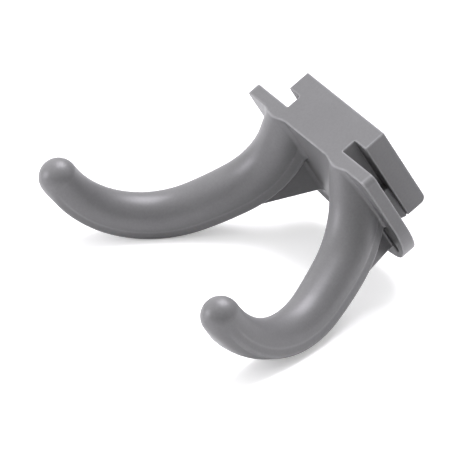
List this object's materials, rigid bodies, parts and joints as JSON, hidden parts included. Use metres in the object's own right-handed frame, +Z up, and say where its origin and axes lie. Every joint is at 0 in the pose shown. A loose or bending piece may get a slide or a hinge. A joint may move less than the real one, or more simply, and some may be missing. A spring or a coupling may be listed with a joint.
{
  "type": "headphone hook",
  "caption": "Moulded plastic headphone hook: splayed, upturned arms with ball ends on a flanged T-slot mount that slides onto a slotted rail or plate.",
  "frame": {"origin": "the centre of the T-slot key's back face", "axes": "+Z up as the hook hangs, -Y forwards along the arms, +Y back to the key, +X to the viewer's right from in front"},
  "size_m": [0.099, 0.0744, 0.0536],
  "materials": {
    "grey_plastic": "satin moulded mid-grey"
  },
  "bodies": {
    "root": {"rail_key": "grey_plastic", "mount_neck": "grey_plastic", "front_flange": "grey_plastic", "left_stop_lug": "grey_plastic", "left_arm": "grey_plastic", "left_gusset_web": "grey_plastic", "right_stop_lug": "grey_plastic", "right_arm": "grey_plastic", "right_gusset_web": "grey_plastic"}
  },
  "joints": []
}
